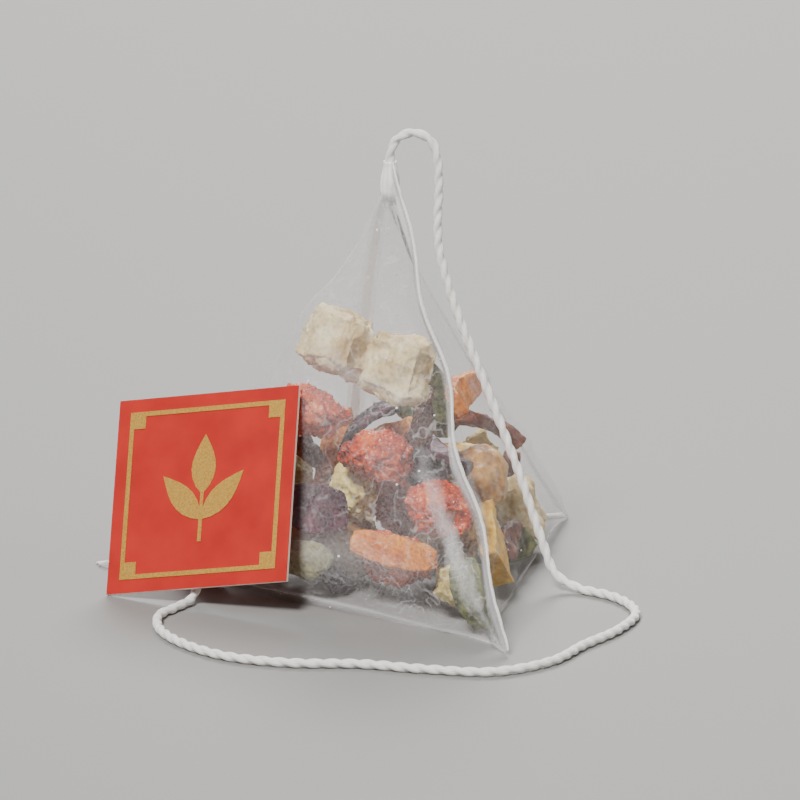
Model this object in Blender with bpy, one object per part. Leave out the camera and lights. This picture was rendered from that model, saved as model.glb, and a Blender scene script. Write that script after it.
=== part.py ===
# Pyramid tea bag, standing on one of its four faces, in metres with +Z up.
# A strip of sheer fabric is rolled into a tube and sealed flat across both ends. The second seal
# is at right angles to the first, so the tube takes the shape of a pyramid with four equal faces.
# The foot seal lies on the table along X, at +Y. The front seal rises from the table to the tip.
# The origin is under the middle of the bag, on the table.

import math
import random

import bmesh
import bpy
import numpy as np
from mathutils import Euler, Matrix, Vector, noise
from mathutils.bvhtree import BVHTree

# Fabric bag
FLAT_WIDTH = 0.064  # width of the flattened tube, and so each edge of the pyramid
FABRIC = 0.00025  # thickness of the fabric
SEAL_WIDTH = 0.0013  # how far each end seal stands out from the bag
SEAL_THICKNESS = 0.0005  # two fabrics welded together
FULLNESS = 3.1  # 2 gives round sections, and more gives flatter faces with sharper folds
SEAL_WAVE = 0.0007  # how far the front seal wanders sideways
CREASE_SCALE = 1.0  # height of all soft creases
SAG = 0.0013  # how far the fabric may sink between the pieces of the filling
SAG_GAP = 0.0005  # kept between the sunken fabric and the pieces, along the fabric's own direction
SAG_ENDS = 0.16  # share of the rows at each end over which the sag begins
SAG_PULL = 0.00005  # inward pull in each of SAG_ROUNDS rounds of smoothing
SAG_ROUNDS = 60
SAG_SAMPLES = 5  # rays along each side of a cell of the fabric's mesh

# Thread and the collar of fabric welded around it
THREAD_DIAMETER = 0.0012
THREAD_PLAY = 0.0002  # gap between the thread and the fabric around it
COLLAR_WALL = 0.0003
COLLAR_ABOVE = 0.0008  # how far the collar stands above the tip
COLLAR_BELOW = 0.0040
THREAD_INSIDE = 0.0030  # how far below the tip the thread starts

# Tag
TAG_SIDE = 0.025
TAG_THICKNESS = 0.0004
TAG_LEAN = math.radians(61)  # slope of the card above the table
TAG_FACING = math.radians(-52)  # which way its print looks, from -Y round towards -X
TAG_TURN = math.radians(12)  # turned in its own plane, so that it stands on one corner
TAG_ALONG = -0.0236  # where it stands, measured along the table from the middle of the bag
CARD_MARGIN = 0.0012  # how far beyond the card's outline the bag is kept clear of it
FOIL_THICKNESS = 0.00006
FOIL_LIFT = 0.00003
BORDER_INSET = 0.0017
BORDER_WIDTH = 0.0006
BORDER_STEP = 0.0016  # side of the step in each inner corner of the border
# Leaves of the sprig: root, point and width
LEAVES = (
    ((0.0, -0.0006), (0.0, 0.0072), 0.0034),
    ((0.0, -0.0038), (0.0056, 0.0022), 0.0030),
    ((0.0, -0.0038), (-0.0056, 0.0022), 0.0030),
)

# Filling
GAP = 0.0003  # between pieces, and between the pieces and the fabric
GRID_STEP = FLAT_WIDTH / 51  # step of the grid on which free places are looked for
TURNS_TRIED = 4  # attitudes tried for each piece
SPOTS_TRIED = 90  # places tried for each attitude
SEED = 11

# Mesh fineness
AROUND = 56  # points around the tube, a multiple of eight
ALONG = 26  # rows between the two seals
EIGHTHS = 8
END_TURN = 0.28  # where the first and last row lie, as an angle on a half circle

# The pyramid that the seals span: its origin is under the middle of the bag with its seals
HEIGHT = FLAT_WIDTH * math.sqrt(2 / 3)
TUBE_LENGTH = FLAT_WIDTH / math.sqrt(2)
FACE_DEPTH = FLAT_WIDTH * math.sqrt(3) / 2
SEAL_FORWARD = SEAL_WIDTH * math.sqrt(2 / 3)  # how far the front seal stands out along -Y
DEPTH = FACE_DEPTH + SEAL_WIDTH + SEAL_FORWARD
FOOT_MIDDLE = np.array([0.0, DEPTH / 2 - SEAL_WIDTH, 0.0])
FRONT_CORNER = np.array([0.0, SEAL_FORWARD - DEPTH / 2, 0.0])
TIP = np.array([0.0, FOOT_MIDDLE[1] - FACE_DEPTH / 3, HEIGHT])
ACROSS = np.array([1.0, 0.0, 0.0])
RISING = (TIP - FRONT_CORNER) / FLAT_WIDTH
FORWARD = ((TIP + FRONT_CORNER) / 2 - FOOT_MIDDLE) / TUBE_LENGTH
NO_SAG = np.zeros((ALONG, AROUND))

# Soft creases: face, start and end as (share of the way from the foot seal to the front seal,
# share of the tube's width across the face), then height and width in metres
CREASES = (
    ("left", (1.00, -0.12), (0.80, -0.40), 0.0010, 0.0016),
    ("left", (1.00, -0.24), (0.88, -0.42), -0.0006, 0.0018),
    ("left", (0.98, 0.44), (0.62, 0.04), 0.0005, 0.0022),
    ("left", (0.97, 0.30), (0.76, -0.02), -0.0004, 0.0020),
    ("left", (0.04, 0.00), (0.46, -0.08), 0.0005, 0.0022),
    ("right", (1.00, 0.14), (0.68, -0.24), 0.0007, 0.0020),
    ("right", (1.00, -0.36), (0.58, -0.20), -0.0005, 0.0020),
    ("right", (0.05, 0.00), (0.40, 0.06), 0.0005, 0.0022),
    ("back", (0.02, -0.30), (0.50, -0.04), 0.0006, 0.0024),
    ("back", (0.02, 0.22), (0.60, 0.04), -0.0005, 0.0026),
    ("back", (0.96, 0.00), (0.60, 0.05), 0.0005, 0.0022),
)

# Route of the thread after it leaves the tip: down the right face, over the table and up behind
# the tag
THREAD_ROUTE = (
    (0.0000, 0.0091, 0.0538),
    (0.0007, 0.0087, 0.0558),
    (0.0025, 0.0076, 0.0567),
    (0.0043, 0.0066, 0.0558),
    (0.0050, 0.0061, 0.0538),
    (0.0052, 0.0060, 0.0500),
    (0.0051, 0.0061, 0.0460),
    (0.0053, 0.0060, 0.0420),
    (0.0069, 0.0049, 0.0350),
    (0.0101, 0.0025, 0.0250),
    (0.0131, -0.0005, 0.0150),
    (0.0153, -0.0029, 0.0065),
    (0.0166, -0.0044, 0.0022),
    (0.0188, -0.0067, 0.0007),
    (0.0215, -0.0120, 0.0006),
    (0.0210, -0.0190, 0.0006),
    (0.0160, -0.0250, 0.0006),
    (0.0095, -0.0295, 0.0006),
    (0.0030, -0.0345, 0.0006),
    (-0.0050, -0.0360, 0.0006),
    (-0.0120, -0.0320, 0.0006),
    (-0.0185, -0.0270, 0.0006),
    (-0.0260, -0.0235, 0.0006),
    (-0.0320, -0.0180, 0.0006),
    (-0.0350, -0.0105, 0.0006),
    (-0.0353, -0.0038, 0.0006),
    (-0.0332, 0.0019, 0.0006),
    (-0.0306, 0.0040, 0.0006),
    (-0.0284, 0.0057, 0.0006),
    (-0.0272, 0.0066, 0.0009),
    (-0.0262, 0.0075, 0.0022),
    (-0.0256, 0.0088, 0.0045),
    (-0.0248, 0.0104, 0.0075),
    (-0.0242, 0.0115, 0.0096),
)


def material(name, colour, roughness, alpha=1.0):
    made = bpy.data.materials.new(name)
    made.use_nodes = True
    shader = made.node_tree.nodes["Principled BSDF"]
    shader.inputs["Base Color"].default_value = (*colour, 1.0)
    shader.inputs["Roughness"].default_value = roughness
    shader.inputs["Metallic"].default_value = 0.0
    shader.inputs["Alpha"].default_value = alpha
    return made


def add_object(name, points, faces, finish, smooth=False):
    mesh = bpy.data.meshes.new(name)
    mesh.from_pydata([tuple(p) for p in points], [], [tuple(f) for f in faces])
    mesh.validate()
    if smooth:
        mesh.shade_smooth()
    made = bpy.data.objects.new(name, mesh)
    bpy.context.scene.collection.objects.link(made)
    if finish is not None:
        mesh.materials.append(finish)
    return made


def cutter(made):
    made.hide_render = True
    made.display_type = "WIRE"
    return made


# The fabric tube

def section(half_across, half_rising):
    """Points around a rounded section, from the middle of its upper side towards +X.

    Its length around is that of the flat tube. Each eighth, from the middle of a side to the next
    fold, has as many points, so the same points follow a fold from end to end.
    """
    turn = np.linspace(0, 2 * math.pi, EIGHTHS * 90 + 1)
    u = half_across * np.sign(np.sin(turn)) * np.abs(np.sin(turn)) ** (2 / FULLNESS)
    v = half_rising * np.sign(np.cos(turn)) * np.abs(np.cos(turn)) ** (2 / FULLNESS)
    run = np.concatenate([[0], np.cumsum(np.hypot(np.diff(u), np.diff(v)))])
    folds = run[::90]
    count = AROUND // EIGHTHS
    at = [np.linspace(a, b, count, endpoint=False) for a, b in zip(folds[:-1], folds[1:])]
    at = np.concatenate(at)
    scale = 2 * FLAT_WIDTH / run[-1]
    return np.interp(at, run, u) * scale, np.interp(at, run, v) * scale


def crease_height(share, u, v, half_u, half_v):
    """How far the creases lift the fabric, outwards, at each point of one section."""
    towards = {
        "left": np.clip(-u / half_u, 0, 1) ** 3,
        "right": np.clip(u / half_u, 0, 1) ** 3,
        "back": np.clip(v / half_v, 0, 1) ** 3,
    }
    lift = np.zeros(len(u))
    for face, start, end, height, width in CREASES:
        across = u if face == "back" else v
        place = np.stack([np.full(len(u), share * FACE_DEPTH), across], axis=1)
        a = np.array([start[0] * FACE_DEPTH, start[1] * FLAT_WIDTH])
        b = np.array([end[0] * FACE_DEPTH, end[1] * FLAT_WIDTH])
        t = np.clip((place - a) @ (b - a) / ((b - a) @ (b - a)), 0, 1)
        away = np.linalg.norm(place - a - t[:, None] * (b - a), axis=1)
        lift += towards[face] * height * (1 - 0.75 * t) * np.exp(-((away / width) ** 2))
    return lift * CREASE_SCALE


def tube_rows():
    """The middle of the fabric, one row of points for each section."""
    shares = 0.5 - 0.5 * np.cos(np.linspace(END_TURN, math.pi - END_TURN, ALONG))
    rows, lifts = [], []
    for share in shares:
        half_u, half_v = FLAT_WIDTH * (1 - share) / 2, FLAT_WIDTH * share / 2
        u, v = section(half_u, half_v)
        lifts.append(crease_height(share, u, v, half_u, half_v))
        wave = SEAL_WAVE * share**6 * seal_wave(v)
        rows.append(
            FOOT_MIDDLE
            + share * TUBE_LENGTH * FORWARD
            + np.outer(u + wave, ACROSS)
            + np.outer(v, RISING)
        )
    rows = np.array(rows)
    around = np.roll(rows, -1, axis=1) - np.roll(rows, 1, axis=1)
    along = np.gradient(rows, axis=0)
    out = np.cross(along, around)
    out /= np.linalg.norm(out, axis=2, keepdims=True)
    return rows + out * np.array(lifts)[:, :, None], out


def sag_depths(pieces):
    """How far the fabric sinks at each point, until it is taut or rests on the filling."""
    rows, out = tube_rows()
    points, faces = [], []
    for piece in pieces:
        start = len(points)
        placing = piece.matrix_basis
        points += [placing @ v.co for v in piece.data.vertices]
        faces += [tuple(start + i for i in p.vertices) for p in piece.data.polygons]
    tree = BVHTree.FromPolygons(points, faces)
    room = np.full(rows.shape[:2], SAG)
    for i in range(ALONG - 1):
        for k in range(AROUND):
            cell = [(i, k), (i + 1, k), (i, (k + 1) % AROUND), (i + 1, (k + 1) % AROUND)]
            for s, t in np.ndindex(SAG_SAMPLES, SAG_SAMPLES):
                s, t = s / (SAG_SAMPLES - 1), t / (SAG_SAMPLES - 1)
                shares = ((1 - s) * (1 - t), s * (1 - t), (1 - s) * t, s * t)
                place = Vector(sum(share * rows[c] for share, c in zip(shares, cell)))
                inwards = -Vector(sum(share * out[c] for share, c in zip(shares, cell)))
                away = tree.ray_cast(place, inwards, 3 * SAG)[3]
                if away is not None:
                    for c in cell:
                        room[c] = min(room[c], max(away - FABRIC / 2 - SAG_GAP, 0.0))
    ends = np.minimum(np.arange(ALONG), np.arange(ALONG)[::-1]) / (SAG_ENDS * ALONG)
    room = room * np.clip(ends, 0, 1)[:, None] * np.clip((out[:, :, 2] + 0.9) / 0.5, 0, 1)
    sunk = np.zeros(room.shape)
    for _ in range(SAG_ROUNDS):
        calm = (np.roll(sunk, 1, axis=1) + np.roll(sunk, -1, axis=1)) / 2
        calm[1:-1] = (calm[1:-1] + (sunk[:-2] + sunk[2:]) / 2) / 2
        sunk = np.minimum(calm + SAG_PULL, room)
    return sunk


def seal_wave(v):
    """The sideways wander of the front seal, nothing at its two ends."""
    reach = np.clip(2 * v / FLAT_WIDTH, -1, 1)
    return np.sin(3.2 * math.pi * reach + 0.4) * (1 - reach**2)


def outer_rows(sag):
    """Rows of the outer surface, from the edge of the foot seal to the edge of the front seal."""
    rows, out = tube_rows()
    body = rows + out * (FABRIC / 2 - sag)[:, :, None]
    thin = SEAL_THICKNESS / 2
    u, v = section(FLAT_WIDTH / 2, thin)
    foot_root = FOOT_MIDDLE + np.stack([u, 0 * v, v + thin], axis=1)
    foot_edge = foot_root + np.array([0.0, SEAL_WIDTH, 0.0])
    u, v = section(thin, FLAT_WIDTH / 2)
    front_middle = (TIP + FRONT_CORNER) / 2
    wander = SEAL_WAVE * seal_wave(v)
    front_root = front_middle + np.outer(u + wander, ACROSS) + np.outer(v, RISING)
    front_edge = front_root + FORWARD * SEAL_WIDTH
    made = np.array([foot_edge, foot_root, *body, front_root, front_edge])
    made[:, :, 2] = np.maximum(made[:, :, 2], 0.0)
    return made


def inner_rows(sag):
    """Rows of the inner surface, which closes a little before each seal."""
    rows, out = tube_rows()
    body = rows - out * (FABRIC / 2 + sag)[:, :, None]
    body[:, :, 2] = np.maximum(body[:, :, 2], FABRIC)
    return body


def skin(rows):
    """Points and faces of a closed skin over the rows, its flat ends laced together."""
    count = len(rows)
    faces = []
    for i in range(count - 1):
        for k in range(AROUND):
            after = (k + 1) % AROUND
            low, high = i * AROUND, (i + 1) * AROUND
            faces.append((low + k, low + after, high + after, high + k))
    half = AROUND // 2
    quarter = AROUND // 4
    # the foot seal closes between its upper and lower side, the front seal between left and right
    for k in range(-quarter, quarter):
        a, b = k % AROUND, (k + 1) % AROUND
        c, d = (half - k - 1) % AROUND, (half - k) % AROUND
        ring = [a, d, c, b]
        faces.append(tuple(dict.fromkeys(ring)))
    last = (count - 1) * AROUND
    for k in range(half):
        a, b = k, k + 1
        c, d = (-k - 1) % AROUND, (-k) % AROUND
        ring = [a, b, c, d]
        faces.append(tuple(last + i for i in dict.fromkeys(ring)))
    return rows.reshape(-1, 3), faces


def outward(points, faces):
    """The same faces, turned to point out of the closed shape."""
    made = bmesh.new()
    corners = [made.verts.new(p) for p in points]
    for face in faces:
        made.faces.new([corners[i] for i in face])
    bmesh.ops.triangulate(made, faces=made.faces[:], quad_method="SHORT_EDGE")
    bmesh.ops.recalc_face_normals(made, faces=made.faces[:])
    made.verts.index_update()
    turned = [tuple(v.index for v in face.verts) for face in made.faces]
    made.free()
    return turned


def rod(name, radius, low, high, sides=20):
    """A guide rod standing at the tip, used to shape the collar."""
    made = bmesh.new()
    middle = Matrix.Translation((0.0, TIP[1], (low + high) / 2))
    bmesh.ops.create_cone(
        made, cap_ends=True, segments=sides, radius1=radius, radius2=radius, depth=high - low,
        matrix=middle,
    )
    mesh = bpy.data.meshes.new(name)
    made.to_mesh(mesh)
    made.free()
    shaped = bpy.data.objects.new(name, mesh)
    bpy.context.scene.collection.objects.link(shaped)
    return cutter(shaped)


def combine(target, other, operation):
    step = target.modifiers.new(f"{operation.lower()} {other.name}", "BOOLEAN")
    step.operation = operation
    step.object = other


def make_bag(finish, sag):
    points, faces = skin(outer_rows(sag))
    bag = add_object("bag_fabric", points, outward(points, faces), finish, smooth=True)
    points, faces = skin(inner_rows(sag))
    hollow = cutter(add_object("bag_hollow", points, outward(points, faces), None))
    tunnel_radius = THREAD_DIAMETER / 2 + THREAD_PLAY
    collar = rod(
        "collar_shape", tunnel_radius + COLLAR_WALL, HEIGHT - COLLAR_BELOW, HEIGHT + COLLAR_ABOVE
    )
    tunnel = rod("thread_tunnel", tunnel_radius, HEIGHT - 2 * COLLAR_BELOW, HEIGHT + COLLAR_BELOW)
    combine(bag, collar, "UNION")
    combine(bag, hollow, "DIFFERENCE")
    combine(bag, tunnel, "DIFFERENCE")


# The filling: each maker gives the points and faces of one piece around its own middle

def from_bmesh(made):
    made.verts.index_update()
    points = np.array([v.co for v in made.verts])
    faces = [tuple(v.index for v in f.verts) for f in made.faces]
    made.free()
    return points, faces


def cube_chunk(size, draw):
    made = bmesh.new()
    bmesh.ops.create_cube(made, size=1.0)
    bmesh.ops.bevel(
        made, geom=made.edges[:], offset=0.16, segments=1, affect="EDGES", profile=0.5
    )
    for vert in made.verts:
        vert.co += Vector([draw.uniform(-0.035, 0.035) for _ in range(3)])
        vert.co *= 1 - 0.08 * vert.co.z
    points, faces = from_bmesh(made)
    return points * size, faces


def lump(size, draw, bumps=0.10, pinch=0.0, detail=2):
    made = bmesh.new()
    bmesh.ops.create_icosphere(made, subdivisions=detail, radius=0.5)
    shift = Vector([draw.uniform(-40, 40) for _ in range(3)])
    for vert in made.verts:
        swell = 1 + bumps * noise.noise(vert.co * 3.1 + shift)
        waist = 1 - pinch * math.exp(-((vert.co.x / 0.16) ** 2))
        vert.co *= swell
        vert.co.y *= waist
        vert.co.z *= waist
    points, faces = from_bmesh(made)
    return points * size, faces


def strip(size, draw, bend, twist, steps=6, taper=0.35):
    """A long thin piece, bent over its length and twisted."""
    length, width, thickness = size
    corners = np.array([(-0.5, -0.5), (0.5, -0.5), (0.5, 0.5), (-0.5, 0.5)])
    points, faces = [], []
    for i in range(steps + 1):
        share = i / steps - 0.5
        narrow = 1 - taper * abs(2 * share) ** 2 + draw.uniform(-0.05, 0.05)
        arc, roll = share * bend, share * twist
        radius = length / bend
        centre = Vector((radius * math.sin(arc), 0, radius * (1 - math.cos(arc))))
        turn = Matrix.Rotation(-arc, 3, "Y") @ Matrix.Rotation(roll, 3, "X")
        for y, z in corners:
            points.append(centre + turn @ Vector((0, y * width * narrow, z * thickness)))
    for i in range(steps):
        for k in range(4):
            a, b = i * 4 + k, i * 4 + (k + 1) % 4
            faces.append((a, b, b + 4, a + 4))
    faces.append((3, 2, 1, 0))
    end = steps * 4
    faces.append((end, end + 1, end + 2, end + 3))
    points = np.array(points)
    return points - points.mean(axis=0), faces


def wedge(size, draw, angle):
    """A slice of a round fruit, its rim thicker than its point."""
    radius, _, thickness = size
    rim = [angle * (i / 5 - 0.5) for i in range(6)]
    outline = [(0.0, 0.0)] + [(radius * math.cos(a), radius * math.sin(a)) for a in rim]
    points, faces, count = [], [], len(outline)
    for side in (-1, 1):
        for i, (x, y) in enumerate(outline):
            thick = thickness * (0.7 if i == 0 else 1.0) / 2
            points.append((x, y, side * thick + draw.uniform(-0.0001, 0.0001)))
    faces.append(tuple(reversed(range(count))))
    faces.append(tuple(range(count, 2 * count)))
    for i in range(count):
        after = (i + 1) % count
        faces.append((i, after, after + count, i + count))
    points = np.array(points)
    return points - points.mean(axis=0), faces


# Kind, maker, its size in shares of the pyramid's edge, its other settings, colour and roughness.
# The fruit is cut finer for a smaller bag.
FILLINGS = (
    ("cream_cube", cube_chunk, (0.140, 0.098, 0.136), (), (0.86, 0.77, 0.58), 0.75),
    ("golden_oval", lump, (0.234, 0.144, 0.105), (0.06,), (0.80, 0.56, 0.24), 0.55),
    ("red_chunk", lump, (0.172, 0.138, 0.119), (0.34,), (0.62, 0.13, 0.05), 0.6),
    ("green_twist", lump, (0.222, 0.097, 0.086), (0.30, 0.34), (0.52, 0.53, 0.38), 0.8),
    ("lemon_wedge", wedge, (0.150, 0.150, 0.053), (1.25,), (0.85, 0.66, 0.16), 0.6),
    ("pale_lump", lump, (0.113, 0.103, 0.094), (0.42,), (0.84, 0.78, 0.50), 0.8),
    ("orange_peel", strip, (0.206, 0.069, 0.030), (0.9, 0.5), (0.78, 0.33, 0.07), 0.6),
    ("dark_petal", strip, (0.156, 0.106, 0.019), (1.1, 0.7), (0.22, 0.03, 0.05), 0.55),
    ("brown_shred", strip, (0.164, 0.053, 0.027), (0.8, 1.4), (0.36, 0.12, 0.06), 0.6),
    ("leaf_shred", strip, (0.144, 0.075, 0.014), (1.0, 0.9), (0.26, 0.27, 0.11), 0.8),
    ("dark_bead", lump, (0.066, 0.063, 0.059), (0.05,), (0.10, 0.04, 0.04), 0.4),
)
COUNTS = {
    "cream_cube": 6,
    "golden_oval": 4,
    "red_chunk": 6,
    "green_twist": 3,
    "lemon_wedge": 2,
    "pale_lump": 4,
    "orange_peel": 4,
    "dark_petal": 4,
    "brown_shred": 5,
    "leaf_shred": 5,
    "dark_bead": 4,
}

# Pieces that lie against the two front faces, in the order in which they are laid: the way the
# face looks in degrees, then in shares of the pyramid's edge the place along the face, the height
# and the depth behind the flat face
WISHES = {
    "cream_cube_1": (-60, -0.088, 0.485, 0.020),
    "cream_cube_2": (-60, 0.080, 0.475, 0.020),
    "red_chunk_1": (-60, -0.105, 0.345, 0.045),
    "red_chunk_2": (-60, 0.065, 0.300, 0.045),
    "red_chunk_3": (-60, 0.200, 0.350, 0.060),
    "golden_oval_1": (-60, -0.220, 0.170, 0.035),
    "orange_peel_1": (-60, 0.190, 0.205, 0.005),
    "dark_petal_1": (-60, 0.020, 0.180, 0.000),
    "pale_lump_1": (-60, 0.260, 0.105, 0.025),
    "cream_cube_3": (-60, -0.290, 0.070, 0.045),
    "red_chunk_4": (-60, 0.120, 0.080, 0.050),
    "green_twist_1": (-60, -0.070, 0.080, 0.030),
    "golden_oval_2": (60, 0.020, 0.210, 0.035),
    "orange_peel_2": (60, 0.060, 0.360, 0.005),
    "lemon_wedge_1": (60, -0.190, 0.200, 0.010),
    "cream_cube_4": (60, 0.220, 0.080, 0.045),
    "brown_shred_1": (60, -0.020, 0.080, 0.005),
}
ROUND_OR_SQUARE = ("cream_cube", "red_chunk", "pale_lump")  # all others lie flat against a face
WISH_TURN = 0.10  # how far such a piece may be turned from that, in radians
LOOSE_PULL = 0.25  # how strongly a loose piece's own way counts against lying low
COARSE_KINDS = ("cream_cube", "golden_oval", "red_chunk", "green_twist")  # they go in first
HEAP_MIDDLE = np.array([0.0, TIP[1], 0.0])
FACE_LEAN = math.atan(math.sqrt(2) / 4)  # of each standing face, from upright
GRID_PLAY = 0.10  # how much a piece is swelled on the grid, in steps


def sphere_directions(count):
    """Directions spread evenly over a sphere, each with its opposite in the second half."""
    i = np.arange(count) + 0.5
    z = i / count
    turn = math.pi * (1 + math.sqrt(5)) * i
    flat = np.sqrt(1 - z * z)
    half = np.stack([flat * np.cos(turn), flat * np.sin(turn), z], axis=1)
    return np.concatenate([half, -half])


DIRECTIONS = sphere_directions(240)


class Heap:
    """The pieces laid so far, inside the bag's hollow."""

    def __init__(self, points, faces):
        self.wall = BVHTree.FromPolygons([Vector(p) for p in points], faces)
        edge = 8 * GRID_STEP  # a blocked border, wider than half of any piece
        low, high = points.min(axis=0) - edge, points.max(axis=0) + edge
        steps = np.ceil((high - low) / GRID_STEP / 8).astype(int) * 8  # quick to transform
        self.axes = [a + GRID_STEP * np.arange(n) for a, n in zip(low, steps)]
        self.shape = tuple(steps)
        self.places = np.stack(np.meshgrid(*self.axes, indexing="ij"), axis=-1)
        self.blocked = ~self.hollow(high[2])
        self.supports = np.zeros((0, len(DIRECTIONS)))

    def hollow(self, above):
        """Which grid points lie in the hollow, from a ray down each column."""
        found = np.zeros(self.shape, bool)
        down = Vector((0, 0, -1))
        for i, x in enumerate(self.axes[0]):
            for j, y in enumerate(self.axes[1]):
                top = self.wall.ray_cast(Vector((x, y, above)), down)[0]
                floor = top and self.wall.ray_cast(top + down * 1e-6, down)[0]
                if floor:
                    found[i, j] = (self.axes[2] < top.z) & (self.axes[2] > floor.z)
        return found

    def fits(self, points, support, shift):
        """Whether a piece moved by shift keeps its gap to the wall and to the other pieces."""
        moved = support + DIRECTIONS @ shift
        if len(self.supports):
            opposite = np.roll(self.supports, len(DIRECTIONS) // 2, axis=1)
            if (-(moved + opposite)).max(axis=1).min() < GAP:
                return False
        for point in points + shift:
            place, normal, _, away = self.wall.find_nearest(Vector(point))
            if away < GAP or (Vector(point) - place).dot(normal) > 0:
                return False
        return True

    def free_places(self, support, taken):
        """Grid points where the piece is free of the wall and of the pieces laid so far."""
        reach = int(np.ceil(support.max() / GRID_STEP)) + 1
        steps = np.arange(-reach, reach + 1)
        offsets = np.stack(np.meshgrid(steps, steps, steps, indexing="ij"), axis=-1)
        away = (offsets * GRID_STEP) @ DIRECTIONS.T - support
        filled = away.max(axis=-1) < GAP + GRID_PLAY * GRID_STEP
        kernel = np.zeros(self.shape, np.float32)
        kernel[tuple(offsets[filled].T)] = 1
        clash = np.fft.irfftn(np.conj(np.fft.rfftn(kernel)) * taken, s=self.shape, axes=(0, 1, 2))
        return clash < 0.5

    def settle(self, points, support, shift, wish):
        """Moves a held piece to its wish, or a loose one down and outwards, as far as it can."""
        for turn in range(3):
            if wish is not None:
                way = wish - shift
            elif turn == 1:
                way = (shift - HEAP_MIDDLE) * np.array([1.0, 1.0, 0.0])
            else:
                way = np.array([0.0, 0.0, -1.0])
            length = np.linalg.norm(way)
            for step in (GRID_STEP, GRID_STEP / 3, GRID_STEP / 9, GRID_STEP / 27):
                for _ in range(4):
                    moved = shift + way * step / max(length, step)
                    closer = wish is None or math.dist(moved, wish) < math.dist(shift, wish)
                    if not closer or not self.fits(points, support, moved):
                        break
                    shift = moved
        return shift

    def lay(self, points, turns, wish, held):
        """The turn and place of one piece, or None if no place is free.

        A held piece goes as close as it can to its wish, and a loose one lies as low as it can.
        """
        best = []
        taken = np.fft.rfftn(self.blocked.astype(np.float32))
        for turn in turns:
            turned = points @ np.array(turn).T
            support = (turned @ DIRECTIONS.T).max(axis=0)
            free = self.free_places(support, taken)
            if not held:
                free[:, :, 1:] &= ~free[:, :, :-1]
            spots = self.places[free]
            away = np.linalg.norm(spots - wish, axis=1)
            score = away if held else spots[:, 2] + LOOSE_PULL * away
            for i in np.argsort(score, kind="stable")[:SPOTS_TRIED]:
                best.append((score[i], len(best), turn, turned, support, spots[i]))
        for _, _, turn, turned, support, spot in sorted(best, key=lambda b: b[:2]):
            if self.fits(turned, support, spot):
                shift = self.settle(turned, support, spot, wish if held else None)
                self.add(support, shift)
                return turn, shift
        return None

    def add(self, support, middle):
        """Marks a piece's own grid points as taken."""
        reach = 2 * support.max()
        support = support + DIRECTIONS @ middle
        self.supports = np.concatenate([self.supports, support[None]])
        flat = self.places.reshape(-1, 3)
        close = np.flatnonzero(np.linalg.norm(flat - middle, axis=1) < reach)
        away = (flat[close] @ DIRECTIONS.T - support).max(axis=1)
        self.blocked.reshape(-1)[close[away < 0]] = True


def make_filling():
    """Lays the pieces inside the fabric as it is before it sinks."""
    points, faces = skin(inner_rows(NO_SAG))
    heap = Heap(points, outward(points, faces))
    made = []
    draw = random.Random(SEED)
    order = list(WISHES)
    queue = []
    for kind, maker, size, settings, colour, roughness in FILLINGS:
        finish = material(kind, colour, roughness)
        for i in range(COUNTS[kind]):
            name = f"{kind}_{i + 1}"
            later = len(order) + (kind not in COARSE_KINDS)
            place_in_line = order.index(name) if name in WISHES else later
            queue.append((place_in_line, kind, name, maker, size, settings, finish))
    queue.sort(key=lambda piece: piece[0])
    for _, kind, name, maker, size, settings, finish in queue:
        shape, faces = maker(FLAT_WIDTH * np.array(size), draw, *settings)
        faces = outward(shape, faces)
        if name in WISHES:
            wish, turns = held_place(WISHES[name], kind, draw)
        else:
            wish, turns = loose_place(draw)
        laid = heap.lay(shape, turns, wish, name in WISHES)
        if laid is None:
            continue
        turn, place = laid
        piece = add_object(name, shape, faces, finish, smooth=True)
        piece.rotation_euler = turn.to_euler()
        piece.location = place
        made.append(piece)
    return made


def held_place(wish, kind, draw):
    """The wished place of a piece against a face, and the turns to try there."""
    facing, along, height, depth = wish
    facing = math.radians(facing)
    height *= FLAT_WIDTH
    out = (HEIGHT - height) * math.tan(FACE_LEAN) - depth * FLAT_WIDTH
    place = HEAP_MIDDLE + out * np.array([math.sin(facing), -math.cos(facing), 0.0])
    place += along * FLAT_WIDTH * np.array([math.cos(facing), math.sin(facing), 0.0])
    place[2] = height
    flat = 0.0 if kind in ROUND_OR_SQUARE else math.pi / 2
    turns = []
    for _ in range(TURNS_TRIED):
        nudge = [draw.uniform(-WISH_TURN, WISH_TURN) for _ in range(3)]
        own = Euler((flat - FACE_LEAN + nudge[0], nudge[1], nudge[2])).to_matrix()
        turns.append(Matrix.Rotation(facing, 3, "Z") @ own)
    return place, turns


def loose_place(draw):
    """The way that a loose piece leans to, off the middle, and the turns to try."""
    way = draw.uniform(0, 2 * math.pi)
    far = draw.uniform(0.06, 0.30) * FLAT_WIDTH
    height = draw.uniform(0.0, 0.35) * FLAT_WIDTH
    place = HEAP_MIDDLE + np.array([far * math.cos(way), far * math.sin(way), height])
    turns = []
    for _ in range(TURNS_TRIED):
        turns.append(Euler([draw.uniform(-math.pi, math.pi) for _ in range(3)]).to_matrix())
    return place, turns


# The thread

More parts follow.
